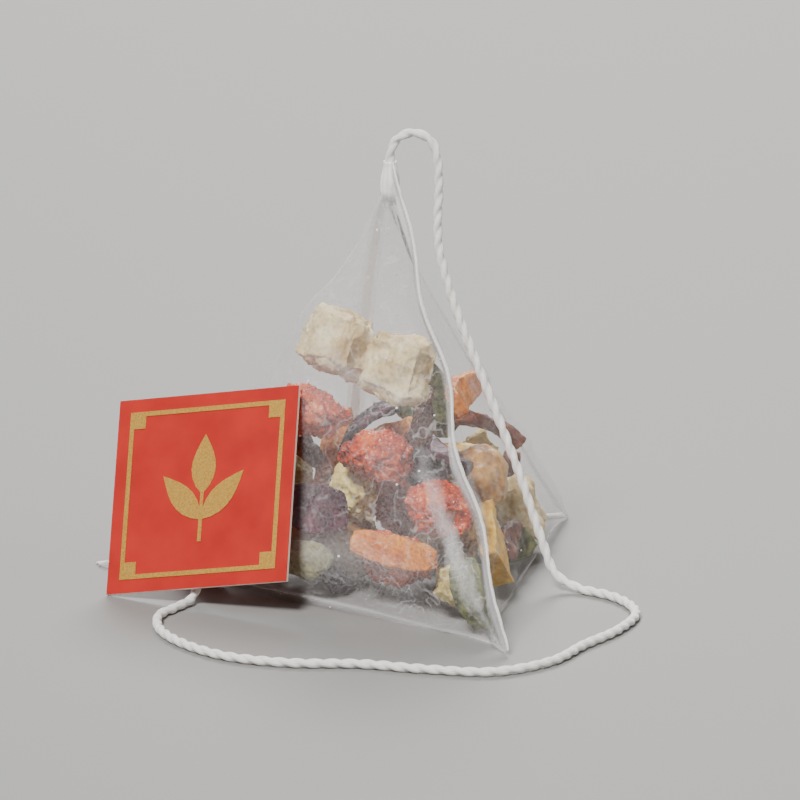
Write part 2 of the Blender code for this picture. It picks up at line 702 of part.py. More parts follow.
def smooth_route(route, step):
    """Points about one step apart along a smooth curve through the route's own points."""
    knots = np.array(route)
    run = np.concatenate([[0], np.cumsum(np.linalg.norm(np.diff(knots, axis=0), axis=1) ** 0.5)])
    slopes = np.gradient(knots, run, axis=0)
    fine = []
    for i in range(len(knots) - 1):
        t = np.linspace(0, 1, 24, endpoint=i == len(knots) - 2)[:, None]
        span = run[i + 1] - run[i]
        fine.append(
            (2 * t**3 - 3 * t**2 + 1) * knots[i]
            + (t**3 - 2 * t**2 + t) * span * slopes[i]
            + (-2 * t**3 + 3 * t**2) * knots[i + 1]
            + (t**3 - t**2) * span * slopes[i + 1]
        )
    fine = np.concatenate(fine)
    along = np.concatenate([[0], np.cumsum(np.linalg.norm(np.diff(fine, axis=0), axis=1))])
    at = np.linspace(0, along[-1], round(along[-1] / step) + 1)
    return np.stack([np.interp(at, along, fine[:, i]) for i in range(3)], axis=1)


def make_thread(finish):
    start = TIP - np.array([0.0, 0.0, THREAD_INSIDE])
    points = smooth_route((start, *THREAD_ROUTE), 2.1 * THREAD_DIAMETER)
    points[:, 2] = np.maximum(points[:, 2], THREAD_DIAMETER / 2)
    curve = bpy.data.curves.new("thread", "CURVE")
    curve.dimensions = "3D"
    curve.bevel_depth = THREAD_DIAMETER / 2
    curve.bevel_resolution = 2
    curve.use_fill_caps = True
    line = curve.splines.new("POLY")
    line.points.add(len(points) - 1)
    for point, place in zip(line.points, points):
        point.co = (*place, 1.0)
    curve.materials.append(finish)
    made = bpy.data.objects.new("thread", curve)
    bpy.context.scene.collection.objects.link(made)
    return made


# The tag

def tag_placing():
    """The card's right, up and facing directions, and its middle, leaning on the left face."""
    facing = np.array([math.sin(TAG_FACING), -math.cos(TAG_FACING), 0.0])
    level = np.array([math.cos(TAG_FACING), math.sin(TAG_FACING), 0.0])
    slope = np.array([0.0, 0.0, math.sin(TAG_LEAN)]) - facing * math.cos(TAG_LEAN)
    normal = facing * math.sin(TAG_LEAN) + np.array([0.0, 0.0, math.cos(TAG_LEAN)])
    right = level * math.cos(TAG_TURN) + slope * math.sin(TAG_TURN)
    up = slope * math.cos(TAG_TURN) - level * math.sin(TAG_TURN)
    half, thick = TAG_SIDE / 2, TAG_THICKNESS / 2
    lift = half * (abs(right[2]) + abs(up[2])) + thick * normal[2]
    middle = level * TAG_ALONG + np.array([0.0, 0.0, lift])
    bag = outer_rows(NO_SAG)
    bag = np.concatenate([bag, (bag + np.roll(bag, 1, axis=1)) / 2]).reshape(-1, 3)
    for _ in range(6):
        across, rise = (bag - middle) @ right, (bag - middle) @ up
        behind = bag[np.maximum(np.abs(across), np.abs(rise)) < half + CARD_MARGIN]
        short = (behind @ normal).max() + GAP + thick - middle @ normal
        middle = middle + facing * short / math.sin(TAG_LEAN)
    return right, up, normal, middle


def card_matrix(right, up, normal, middle):
    placing = Matrix.Identity(4)
    for i, column in enumerate((right, up, normal, middle)):
        for row in range(3):
            placing[row][i] = column[row]
    return placing


def extruded(outline, low, high):
    """A flat plate with this outline, from one height to another."""
    count = len(outline)
    points = [(x, y, z) for z in (low, high) for x, y in outline]
    faces = [tuple(reversed(range(count))), tuple(range(count, 2 * count))]
    faces += [(i, (i + 1) % count, (i + 1) % count + count, i + count) for i in range(count)]
    return points, faces


def leaf(root, tip, width, steps=7):
    """The outline of a pointed leaf from its root to its tip."""
    root, tip = np.array(root), np.array(tip)
    side = np.array([root[1] - tip[1], tip[0] - root[0]]) / np.linalg.norm(tip - root)
    shares = np.linspace(0, 1, steps + 1)
    swell = np.sin(math.pi * shares**0.85) * width / 2
    one = [root + (tip - root) * t + side * w for t, w in zip(shares, swell)]
    other = [root + (tip - root) * t - side * w for t, w in zip(shares, swell)]
    return [tuple(p) for p in one + other[-2:0:-1]]


def stepped_square(half, corner):
    """A square outline with a small square step at each corner."""
    quarter = [(half, -half + corner), (half, half - corner), (half - corner, half - corner)]
    quarter.append((half - corner, half))
    outline = []
    for turn in range(4):
        for x, y in quarter[1:]:
            for _ in range(turn):
                x, y = -y, x
            outline.append((x, y))
    return outline


def make_tag(card_finish, foil_finish):
    placing = card_matrix(*tag_placing())
    half, thick = TAG_SIDE / 2, TAG_THICKNESS / 2
    square = [(-half, -half), (half, -half), (half, half), (-half, half)]
    points, faces = extruded(square, -thick, thick)
    card = add_object("tag_card", points, outward(points, faces), card_finish)
    low = thick + FOIL_LIFT
    high = low + FOIL_THICKNESS

    edge = half - BORDER_INSET
    square = [(-edge, -edge), (edge, -edge), (edge, edge), (-edge, edge)]
    points, faces = extruded(square, low, high)
    border = add_object("tag_foil_border", points, outward(points, faces), foil_finish)
    points, faces = extruded(stepped_square(edge - BORDER_WIDTH, BORDER_STEP), -high, 2 * high)
    window = cutter(add_object("border_window", points, outward(points, faces), None))
    combine(border, window, "DIFFERENCE")

    stem = [(-0.00026, -0.0066), (0.00026, -0.0066), (0.00022, 0.0018), (-0.00022, 0.0018)]
    points, faces = extruded(stem, low, high)
    sprig = add_object("tag_foil_sprig", points, outward(points, faces), foil_finish)
    for i, (root, tip, width) in enumerate(LEAVES):
        points, faces = extruded(leaf(root, tip, width), low, high)
        shape = cutter(add_object(f"leaf_shape_{i + 1}", points, outward(points, faces), None))
        shape.matrix_world = placing
        combine(sprig, shape, "UNION")
    for made in (card, border, window, sprig):
        made.matrix_world = placing


def main():
    for old in list(bpy.data.objects):
        bpy.data.objects.remove(old)
    fabric = material("sheer_fabric", (0.86, 0.85, 0.83), 0.7, alpha=0.35)
    cotton = material("white_cotton", (0.93, 0.92, 0.90), 0.85)
    card = material("red_card", (0.72, 0.06, 0.05), 0.6)
    foil = material("gold_foil", (0.83, 0.58, 0.22), 0.35)
    make_bag(fabric, sag_depths(make_filling()))
    make_thread(cotton)
    make_tag(card, foil)


main()
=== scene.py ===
import functools
import math

import bmesh
import bpy
import numpy as np
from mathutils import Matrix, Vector, noise
from mathutils.bvhtree import BVHTree


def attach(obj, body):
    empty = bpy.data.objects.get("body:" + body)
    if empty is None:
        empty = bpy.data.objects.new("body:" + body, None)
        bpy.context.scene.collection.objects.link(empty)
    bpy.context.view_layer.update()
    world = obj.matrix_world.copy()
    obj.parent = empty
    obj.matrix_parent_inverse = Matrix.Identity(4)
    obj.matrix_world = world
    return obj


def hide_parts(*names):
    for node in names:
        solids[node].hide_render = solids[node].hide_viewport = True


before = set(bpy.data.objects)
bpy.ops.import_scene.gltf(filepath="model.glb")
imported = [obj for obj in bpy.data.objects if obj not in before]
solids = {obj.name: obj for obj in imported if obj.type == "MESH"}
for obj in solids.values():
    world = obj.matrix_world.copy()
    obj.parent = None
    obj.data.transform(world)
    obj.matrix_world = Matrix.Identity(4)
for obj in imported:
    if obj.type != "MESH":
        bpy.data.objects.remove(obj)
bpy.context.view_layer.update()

body = "root"
fillingNodes = sorted(name for name in solids if name[-1].isdigit())  # the numbered pieces


def kindOf(name):
    return name.rsplit("_", 1)[0]


def deselectAll():
    if bpy.context.mode != "OBJECT":
        bpy.ops.object.mode_set(mode="OBJECT")
    bpy.ops.object.select_all(action="DESELECT")


def makeActive(piece):
    deselectAll()
    piece.select_set(True)
    bpy.context.view_layer.objects.active = piece


def addObject(name, data):
    piece = bpy.data.objects.new(name, data)
    bpy.context.scene.collection.objects.link(piece)
    return piece


def meshPiece(name, points, faces):
    mesh = bpy.data.meshes.new(name)
    mesh.from_pydata([tuple(p) for p in points], [], [tuple(f) for f in faces])
    mesh.validate()
    mesh.shade_smooth()
    return addObject(name, mesh)


def aim(thing, way):
    thing.rotation_mode = "QUATERNION"
    thing.rotation_quaternion = Vector(way).to_track_quat("-Z", "Y")


def smoothSteps(x):
    x = np.clip(x, 0, 1)
    return x * x * (3 - 2 * x)


def runAlong(points, power=1):  # the way from the first point to each of the points
    steps = np.linalg.norm(np.diff(points, axis=0), axis=1)
    return np.concatenate([[0], np.cumsum(steps**power)])


def fromEnds(count):  # how many rows lie between each row and the nearer end
    return np.minimum(np.arange(count), np.arange(count)[::-1])


# the nodes of one material, with short ways to add and join them
class Nodes:
    sockets = {
        "colour": "Base Color", "rough": "Roughness", "normal": "Normal", "alpha": "Alpha",
        "sheen": "Sheen Weight", "sheenRough": "Sheen Roughness", "metal": "Metallic",
        "coat": "Coat Weight", "coatRough": "Coat Roughness", "specular": "Specular IOR Level",
    }

    def __init__(self, name):
        self.material = bpy.data.materials.new(name)
        self.material.use_nodes = True
        self.tree = self.material.node_tree
        self.shader = self.tree.nodes["Principled BSDF"]
        self.coords = self.add("ShaderNodeTexCoord").outputs

    def add(self, kind, **settings):
        node = self.tree.nodes.new(kind)
        for key, value in settings.items():
            setattr(node, key, value)
        return node

    def put(self, socket, value):  # a number, a colour or direction, or another node's output
        if isinstance(value, bpy.types.NodeSocket):
            self.tree.links.new(value, socket)
        elif isinstance(value, tuple) and len(value) < len(socket.default_value):
            socket.default_value = (*value, 1)
        else:
            socket.default_value = value

    def set(self, **values):
        for key, value in values.items():
            self.put(self.shader.inputs[self.sockets[key]], value)

    def texture(self, kind, scale, source=None, **values):
        node = self.add("ShaderNodeTex" + kind)
        self.put(node.inputs["Vector"], source or self.coords["Object"])
        self.put(node.inputs["Scale"], scale)
        for key, value in values.items():
            self.put(node.inputs[key], value)
        return node

    def ramp(self, source, *stops):
        node = self.add("ShaderNodeValToRGB")
        elements = node.color_ramp.elements
        while len(elements) < len(stops):
            elements.new(0.5)
        for element, (place, colour) in zip(elements, stops):
            element.position = place
            element.color = (*colour, 1)
        self.put(node.inputs["Fac"], source)
        return node.outputs["Color"]

    def grey(self, source, low, high, fromLow=0.0, fromHigh=1.0):
        node = self.add("ShaderNodeMapRange")
        for socket, value in zip(node.inputs, (source, fromLow, fromHigh, low, high)):
            self.put(socket, value)
        return node.outputs["Result"]

    def math(self, operation, *values):
        node = self.add("ShaderNodeMath", operation=operation)
        for socket, value in zip(node.inputs, values):
            self.put(socket, value)
        return node.outputs["Value"]

    def vector(self, operation, *values):
        node = self.add("ShaderNodeVectorMath", operation=operation)
        for socket, value in zip(node.inputs, values):
            self.put(socket, value)
        return node.outputs

    def total(self, *values):
        return functools.reduce(lambda a, b: self.math("ADD", a, b), values)

    def largest(self, *values):
        return functools.reduce(lambda a, b: self.math("MAXIMUM", a, b), values)

    def mapping(self, source, turn, scale, place=(0, 0, 0), way="POINT"):
        node = self.add("ShaderNodeMapping", vector_type=way)
        self.put(node.inputs["Vector"], source)
        self.put(node.inputs["Location"], place)
        self.put(node.inputs["Rotation"], (0, 0, turn))
        self.put(node.inputs["Scale"], scale)
        return node.outputs["Vector"]

    def blend(self, amount, a, b):
        node = self.add("ShaderNodeMix", data_type="RGBA")
        for place, value in ((0, amount), (6, a), (7, b)):  # its factor and its two colours
            self.put(node.inputs[place], value)
        return node.outputs[2]

    def bump(self, height, strength, distance, after=None):
        node = self.add("ShaderNodeBump")
        self.put(node.inputs["Strength"], strength)
        self.put(node.inputs["Distance"], distance)
        self.put(node.inputs["Height"], height)
        if after:
            self.put(node.inputs["Normal"], after)
        return node.outputs["Normal"]


# camera, as the photograph sees the chosen bag
view = {
    "azimuth": -22,  # degrees from the front towards the left
    "elevation": 14,
    "distance": 0.79,
    "target": (-0.004, -0.004, 0.0262),
    "lens": 292,
}


def makeCamera():
    a, e = math.radians(view["azimuth"]), math.radians(view["elevation"])
    back = Vector((math.sin(a) * math.cos(e), -math.cos(a) * math.cos(e), math.sin(e)))
    lens = bpy.data.cameras.new("camera")
    lens.lens = view["lens"]
    lens.sensor_width = 36
    lens.clip_start = 0.01
    camera = addObject("camera", lens)
    camera.location = Vector(view["target"]) + back * view["distance"]
    aim(camera, -back)
    bpy.context.scene.camera = camera


makeCamera()
print("camera made")


# thread, two cotton plies twisted together
thread = {
    "diameter": 0.0012,
    "pitch": 0.0042,  # one full turn of the plies
    "step": 0.00022,
    "perSpan": 24,  # fine points between two points of the route
    "sides": 20,
    "plyDepth": 0.30,  # how deep the groove between the plies is
    "plyEdge": 1.6,  # above 1 the groove is narrower than the plies
    "uneven": 0.06,  # how much the thickness changes along it
    "inside": 0.0030,  # how far below the tip it starts
    "tip": (0.0, 0.009117, 0.052256),
    # the same points as in the part's source
    "route": (
        (0.0000, 0.0091, 0.0538), (0.0007, 0.0087, 0.0558), (0.0025, 0.0076, 0.0567),
        (0.0043, 0.0066, 0.0558), (0.0050, 0.0061, 0.0538), (0.0052, 0.0060, 0.0500),
        (0.0051, 0.0061, 0.0460), (0.0053, 0.0060, 0.0420), (0.0069, 0.0049, 0.0350),
        (0.0101, 0.0025, 0.0250), (0.0131, -0.0005, 0.0150), (0.0153, -0.0029, 0.0065),
        (0.0166, -0.0044, 0.0022), (0.0188, -0.0067, 0.0007), (0.0215, -0.0120, 0.0006),
        (0.0210, -0.0190, 0.0006), (0.0160, -0.0250, 0.0006), (0.0095, -0.0295, 0.0006),
        (0.0030, -0.0345, 0.0006), (-0.0050, -0.0360, 0.0006), (-0.0120, -0.0320, 0.0006),
        (-0.0185, -0.0270, 0.0006), (-0.0260, -0.0235, 0.0006), (-0.0320, -0.0180, 0.0006),
        (-0.0350, -0.0105, 0.0006), (-0.0353, -0.0038, 0.0006), (-0.0332, 0.0019, 0.0006),
        (-0.0306, 0.0040, 0.0006), (-0.0284, 0.0057, 0.0006), (-0.0272, 0.0066, 0.0009),
        (-0.0262, 0.0075, 0.0022), (-0.0256, 0.0088, 0.0045), (-0.0248, 0.0104, 0.0075),
        (-0.0242, 0.0115, 0.0096),
    ),
    "dark": (0.72, 0.70, 0.66),
    "light": (0.95, 0.94, 0.91),
    "patch": (0.88, 0.86, 0.80),
    "rough": 0.85,
    "fibres": (26, 3.5, 1),  # around it, and along it for each length of one lap
    "fibreTurn": 0.62,  # radians by which the fibres run aslant
}


def smoothRoute(route, step):
    knots = np.array(route)
    run = runAlong(knots, 0.5)
    slopes = np.gradient(knots, run, axis=0)
    fine = []
    for i in range(len(knots) - 1):
        last = i == len(knots) - 2
        t = np.linspace(0, 1, thread["perSpan"], endpoint=last)[:, None]
        span = run[i + 1] - run[i]
        fine.append(
            (2 * t**3 - 3 * t**2 + 1) * knots[i]
            + (t**3 - 2 * t**2 + t) * span * slopes[i]
            + (-2 * t**3 + 3 * t**2) * knots[i + 1]
            + (t**3 - t**2) * span * slopes[i + 1]
        )
    fine = np.concatenate(fine)
    along = runAlong(fine)
    at = np.linspace(0, along[-1], round(along[-1] / step) + 1)
    line = np.stack([np.interp(at, along, fine[:, i]) for i in range(3)], axis=1)
    for _ in range(3):  # rounds the joins between the spans
        line[1:-1] = (line[:-2] + 2 * line[1:-1] + line[2:]) / 4
    line[:, 2] = np.maximum(line[:, 2], thread["diameter"] / 2)
    return line


# two directions across the line at each point, carried along it without twist
def turningFrames(line):
    ahead = np.gradient(line, axis=0)
    ahead /= np.linalg.norm(ahead, axis=1, keepdims=True)
    side = np.zeros_like(ahead)
    side[0] = np.cross(ahead[0], (0.3, 0.9, 0.1))
    side[0] /= np.linalg.norm(side[0])
    for i in range(1, len(line)):
        carried = side[i - 1] - ahead[i] * (side[i - 1] @ ahead[i])
        side[i] = carried / np.linalg.norm(carried)
    return side, np.cross(ahead, side)


def makeThread():
    start = np.array(thread["tip"]) - (0, 0, thread["inside"])
    line = smoothRoute((start, *thread["route"]), thread["step"])
    side, other = turningFrames(line)
    count, sides = len(line), thread["sides"]
    run = np.arange(count) * thread["step"]
    turn = run / thread["pitch"] * 2 * math.pi
    grown = np.array([noise.noise(Vector((i * 0.021, 3.1, 0))) for i in range(count)])
    swell = 1 + thread["uneven"] * (grown - 0.5)
    ends = np.minimum(1, fromEnds(count) / 4 + 0.35)
    rings = []
    for k in np.linspace(0, 2 * math.pi, sides, endpoint=False):
        groove = (0.5 - 0.5 * np.cos(2 * (k - turn))) ** thread["plyEdge"]
        size = thread["diameter"] / 2 * (1 - thread["plyDepth"] * groove) * swell * ends
        rings.append(line + (side * np.cos(k) + other * np.sin(k)) * size[:, None])
    points = np.stack(rings, axis=1).reshape(-1, 3)
    points[:, 2] = np.maximum(points[:, 2], 0.00002)  # just above the table
    faces = []
    for i in range(count - 1):
        a, b = i * sides, (i + 1) * sides
        for k in range(sides):
            after = (k + 1) % sides
            faces.append((a + k, a + after, b + after, b + k))
    faces.append(tuple(reversed(range(sides))))
    faces.append(tuple(range((count - 1) * sides, count * sides)))
    piece = meshPiece("cottonThread", points, faces)
    flat = piece.data.uv_layers.new(name="UVMap")
    for face in piece.data.polygons:
        for loop in face.loop_indices:
            i, k = divmod(piece.data.loops[loop].vertex_index, sides)
            closing = face.index % sides == sides - 1 and k == 0
            lap = 1.0 if closing else k / sides
            flat.data[loop].uv = (lap, run[i] / (math.pi * thread["diameter"]))
    return piece, line


def cottonFinish():
    n = Nodes("cottonYarn")
    twisted = n.mapping(n.coords["UV"], thread["fibreTurn"], thread["fibres"])
    fibres = n.texture("Noise", 1.0, twisted, Detail=3, Roughness=0.6).outputs["Fac"]
    patches = n.texture("Noise", 900, Detail=2).outputs["Fac"]
    tone = n.blend(n.grey(fibres, 0, 1, 0.35, 0.65), thread["dark"], thread["light"])
    tone = n.blend(n.grey(patches, 0, 0.35, 0.4, 0.7), tone, thread["patch"])
    n.set(
        colour=tone, rough=thread["rough"], sheen=0.5, sheenRough=0.45, specular=0.25,
        normal=n.bump(fibres, 0.5, 0.00012),
    )
    return n.material


cottonThread, threadLine = makeThread()
cottonThread.data.materials.append(cottonFinish())


# the bag of sheer fabric, a flat tube opened into a pyramid by its two crossed seals
bag = {
    "flatWidth": 0.064,  # each edge of the pyramid
    "sealWidth": 0.0013,
    "sealThickness": 0.00026,
    "sealLift": 0.0001,  # from the table to the foot seal
    "sealWave": 0.0007,  # how far the front seal sways
    "nibble": 0.16,  # unevenness of its cut edge, as a share of its width
    "fabric": 0.00010,
    "fullness": 3.1,  # 2 gives round sections and more gives square ones
    "perEighth": 27,  # points in each eighth of the tube
    "rows": 112,
    "endTurn": 0.10,  # keeps the first and last row off the seals
    "sag": 0.0013,  # how far the fabric may sink between the pieces
    "sagEnds": 0.16,  # share of the rows at each end over which the sag begins
    "sagPull": 0.000012,  # in each round
    "sagRounds": 200,
    "lookFrom": 0.0008,  # the search for the pieces starts this far outside the fabric
    "lookTo": 0.006,  # and goes this far
    "clear": 0.00028,  # from the fabric to the pieces behind it
    "proud": 0.00025,  # how far a piece may push the fabric out
    # soft creases: face, start, end, height and width, as in the part's source
    "creases": (
        ("left", (1.00, -0.12), (0.80, -0.40), 0.0010, 0.0016),
        ("left", (1.00, -0.24), (0.88, -0.42), -0.0006, 0.0018),
        ("left", (0.98, 0.44), (0.62, 0.04), 0.0005, 0.0022),
        ("left", (0.97, 0.30), (0.76, -0.02), -0.0004, 0.0020),
        ("left", (0.04, 0.00), (0.46, -0.08), 0.0005, 0.0022),
        ("right", (1.00, 0.14), (0.68, -0.24), 0.0007, 0.0020),
        ("right", (1.00, -0.36), (0.58, -0.20), -0.0005, 0.0020),
        ("right", (0.05, 0.00), (0.40, 0.06), 0.0005, 0.0022),
        ("back", (0.02, -0.30), (0.50, -0.04), 0.0006, 0.0024),
        ("back", (0.02, 0.22), (0.60, 0.04), -0.0005, 0.0026),
        ("back", (0.96, 0.00), (0.60, 0.05), 0.0005, 0.0022),
    ),
}
edge = bag["flatWidth"]
height = edge * math.sqrt(2 / 3)
tubeLength = edge / math.sqrt(2)
faceDepth = edge * math.sqrt(3) / 2
sealForward = bag["sealWidth"] * math.sqrt(2 / 3)
depth = faceDepth + bag["sealWidth"] + sealForward
footMiddle = np.array([0.0, depth / 2 - bag["sealWidth"], 0.0])
frontCorner = np.array([0.0, sealForward - depth / 2, 0.0])
tip = np.array([0.0, footMiddle[1] - faceDepth / 3, height])
rising = (tip - frontCorner) / edge
forward = ((tip + frontCorner) / 2 - footMiddle) / tubeLength
around = 8 * bag["perEighth"]
lapLength = 2 * edge  # once around the flat tube, and one unit of the fabric's UV map


# points around a rounded section of the tube, and how far around it each lies
def section(halfAcross, halfRising):
    power = 2 / bag["fullness"]
    turn = np.linspace(0, 2 * math.pi, 721)
    u = halfAcross * np.sign(np.sin(turn)) * np.abs(np.sin(turn)) ** power
    v = halfRising * np.sign(np.cos(turn)) * np.abs(np.cos(turn)) ** power
    run = runAlong(np.stack([u, v], axis=1))
    folds = run[::90]
    spans = zip(folds[:-1], folds[1:])
    at = np.concatenate([np.linspace(a, b, bag["perEighth"], endpoint=False) for a, b in spans])
    scale = lapLength / run[-1]
    return np.interp(at, run, u) * scale, np.interp(at, run, v) * scale, at * scale


def creaseHeight(share, u, v, halfU, halfV):
    towards = {
        "left": np.clip(-u / halfU, 0, 1) ** 3,
        "right": np.clip(u / halfU, 0, 1) ** 3,
        "back": np.clip(v / halfV, 0, 1) ** 3,
    }
    lift = np.zeros(len(u))
    for face, start, end, tall, wide in bag["creases"]:
        across = u if face == "back" else v
        place = np.stack([np.full(len(u), share * faceDepth), across], axis=1)
        a = np.array([start[0] * faceDepth, start[1] * edge])
        b = np.array([end[0] * faceDepth, end[1] * edge])
        t = np.clip((place - a) @ (b - a) / ((b - a) @ (b - a)), 0, 1)
        away = np.linalg.norm(place - a - t[:, None] * (b - a), axis=1)
        lift += towards[face] * tall * (1 - 0.75 * t) * np.exp(-((away / wide) ** 2))
    return lift


def sealWander(v):
    reach = np.clip(2 * v / edge, -1, 1)
    return np.sin(3.2 * math.pi * reach + 0.4) * (1 - reach**2)


# the smooth tube: its points, the directions out of it, its flat coordinates and its creases
def tubeRows():
    angles = np.linspace(bag["endTurn"], math.pi - bag["endTurn"], bag["rows"])
    rows, lifts, flats = [], [], []
    for share in 0.5 - 0.5 * np.cos(angles):
        halfU, halfV = edge * (1 - share) / 2, edge * share / 2
        u, v, at = section(halfU, halfV)
        lifts.append(creaseHeight(share, u, v, halfU, halfV))
        wander = bag["sealWave"] * share**6 * sealWander(v)
        middle = footMiddle + share * tubeLength * forward
        rows.append(middle + np.outer(u + wander, (1, 0, 0)) + np.outer(v, rising))
        flats.append(np.stack([at, np.full(len(at), share * faceDepth)], axis=1))
    rows = np.array(rows)
    lap = np.roll(rows, -1, axis=1) - np.roll(rows, 1, axis=1)
    out = np.cross(np.gradient(rows, axis=0), lap)
    out /= np.linalg.norm(out, axis=2, keepdims=True)
    return rows, out, np.array(flats), np.array(lifts)


# the outside of all pieces of the filling, for the fabric to lie on
def fillingTree():
    points, faces = [], []
    for name in fillingNodes:
        mesh = solids[name].data
        start = len(points)
        points += [v.co.copy() for v in mesh.vertices]
        faces += [tuple(start + i for i in p.vertices) for p in mesh.polygons]
    return BVHTree.FromPolygons(points, faces)


# lets the fabric sink between the pieces and rest on them, as a stretched skin does
def settleFabric(rows, out, lifts):
    tree = fillingTree()
    least = np.full(rows.shape[:2], -1.0)
    for spot in np.ndindex(rows.shape[:2]):
        start, way = Vector(rows[spot]), Vector(-out[spot])
        found = tree.ray_cast(start - way * bag["lookFrom"], way, bag["lookTo"])[0]
        if found:
            least[spot] = bag["clear"] - (found - start).dot(way)
    for _ in range(2):  # also clear of what lies beside each point
        wide = np.maximum(np.roll(least, 1, axis=1), np.roll(least, -1, axis=1))
        wide[1:-1] = np.maximum(wide[1:-1], np.maximum(least[:-2], least[2:]))
        least = np.maximum(least, wide)
    ends = smoothSteps(fromEnds(len(rows)) / (bag["sagEnds"] * len(rows)))
    offTable = np.clip((out[:, :, 2] + 0.9) / 0.5, 0, 1)  # the face on the table stays flat
    lowest = lifts - ends[:, None] * offTable * bag["sag"]
    pushed = np.minimum(least, lifts + bag["proud"])
    sunk = lifts.copy()
    for _ in range(bag["sagRounds"]):
        calm = (np.roll(sunk, 1, axis=1) + np.roll(sunk, -1, axis=1)) / 2
        calm[1:-1] = (calm[1:-1] + (sunk[:-2] + sunk[2:]) / 2) / 2
        sunk = np.maximum(np.maximum(calm - bag["sagPull"], lowest), pushed)
    return sunk


pleat = {
    "height": 0.00030,
    "starts": 0.004,  # from a corner, over which the pleats begin
    "middle": 0.006,
    "reach": 0.0075,
    "fans": (((0.9, 0.35, -0.5), 17), ((-0.4, 0.9, 0.6), 11)),  # direction and turns
    # faint waves all over: how many for a millimetre, height, and place in the noise
    "waves": ((0.16, 0.00010, 1.7), (0.7, 0.00003, 8.2)),
    "endRows": 6,  # rows at each end over which all this begins
}


# small pleats that fan out of the corners, and faint waves
def pleats(rows, flats):
    half = np.array([edge / 2, 0, 0])
    lift = np.zeros(rows.shape[:2])
    for j, corner in enumerate((frontCorner, tip, footMiddle - half, footMiddle + half)):
        away = np.linalg.norm(rows - corner, axis=2)
        bearing = (rows - corner) / np.maximum(away, 1e-6)[:, :, None]
        fan = sum(bearing @ np.array(way) * turns for way, turns in pleat["fans"])
        fade = np.exp(-(((away - pleat["middle"]) / pleat["reach"]) ** 2))
        lift += pleat["height"] * np.sin(fan + j) * fade * smoothSteps(away / pleat["starts"])
    for spot in np.ndindex(lift.shape):
        x, y = flats[spot] * 1000
        for often, tall, place in pleat["waves"]:
            lift[spot] += tall * noise.noise(Vector((x * often, y * often, place)))
    return lift * smoothSteps(fromEnds(len(rows)) / pleat["endRows"])[:, None]


def fabricRows():
    rows, out, flats, lifts = tubeRows()
    sunk = settleFabric(rows, out, lifts) + pleats(rows, flats)
    rows = rows + out * sunk[:, :, None]
    thin, wide = bag["sealThickness"] / 2, bag["sealWidth"]
    u, v, at = section(edge / 2, thin)
    footRoot = footMiddle + np.stack([u, 0 * v, v + thin + bag["sealLift"]], axis=1)
    footRows, footFlat = [], []
    for share in (1.0, 0.66, 0.33, 0.0):
        footRows.append(footRoot + (0, share * wide, 0))
        footFlat.append(np.stack([at, np.full(around, -share * wide)], axis=1))
    u, v, at = section(thin, edge / 2)
    wander = bag["sealWave"] * sealWander(v)
    frontRoot = (tip + frontCorner) / 2 + np.outer(u + wander, (1, 0, 0)) + np.outer(v, rising)
    bitten = bag["nibble"] * np.array([noise.noise(Vector((x * 900, 0, 4.4))) for x in v])
    frontRows, frontFlat = [], []
    for share in (0.0, 0.33, 0.66, 1.0):
        frontRows.append(frontRoot + np.outer((1 + bitten * share) * share * wide, forward))
        frontFlat.append(np.stack([at, np.full(around, faceDepth + share * wide)], axis=1))
    rows = np.concatenate([footRows, rows, frontRows])
    rows[:, :, 2] = np.maximum(rows[:, :, 2], 0.00008)  # just above the table
    return rows, np.concatenate([footFlat, flats, frontFlat])


collar = {
    "below": 0.0046,  # how far it reaches below and above the tip
    "above": 0.0008,
    "outer": 0.00098,  # radii
    "inner": 0.00066,
    "ends": 0.86,  # share of the outer radius that its ends have
    "swell": 0.30,  # share that is added between them
    "pleats": 7,
    "pleatDepth": 0.10,
    "pleatTwist": 2.2,
    "ripple": 0.06,
    "sides": 56,
    "rings": 22,
}


def collarRadius(share, a, z):
    fold = math.sin(collar["pleats"] * a + collar["pleatTwist"] * share + 1.3 * math.sin(2 * a))
    fade = min(1, 0.15 + 4 * (1 - share)) * min(1, 0.3 + 3 * share)
    ripple = noise.noise(Vector((math.cos(a) * 2, math.sin(a) * 2, z * 900)))
    swell = collar["swell"] * math.sin(math.pi * min(share * 1.15, 1))
    uneven = 1 + collar["pleatDepth"] * fold * fade + collar["ripple"] * ripple
    return collar["outer"] * (collar["ends"] + swell - 0.02 * share) * uneven


# the gathered and welded end of the fabric around the thread, a closed sleeve
def makeCollar():
    points, faces = [], []
    sides, rings = collar["sides"], collar["rings"]
    low, high = height - collar["below"], height + collar["above"]
    for wall in ("outer", "inner"):
        for share in np.linspace(0, 1, rings):
            z = low + (high - low) * share
            for a in np.linspace(0, 2 * math.pi, sides, endpoint=False):
                radius = collarRadius(share, a, z) if wall == "outer" else collar["inner"]
                points.append((radius * math.cos(a), tip[1] + radius * math.sin(a), z))
    inner, top = rings * sides, (rings - 1) * sides
    for k in range(sides):
        after = (k + 1) % sides
        for i in range(rings - 1):
            a, b = i * sides, (i + 1) * sides
            faces.append((a + k, a + after, b + after, b + k))
            faces.append((inner + a + k, inner + b + k, inner + b + after, inner + a + after))
        faces.append((k, inner + k, inner + after, after))
        faces.append((top + k, top + after, inner + top + after, inner + top + k))
    piece = meshPiece("weldedCollar", points, faces)
    flat = piece.data.uv_layers.new(name="UVMap")
    for face in piece.data.polygons:
        for loop in face.loop_indices:
            x, y, z = points[piece.data.loops[loop].vertex_index]
            lap = math.atan2(abs(x), y - tip[1]) * collar["outer"]
            spot = faceDepth + bag["sealWidth"] * min(1, 0.3 + 1.6 * (z - low) / (high - low))
            flat.data[loop].uv = (lap / lapLength, spot / lapLength)
    return piece


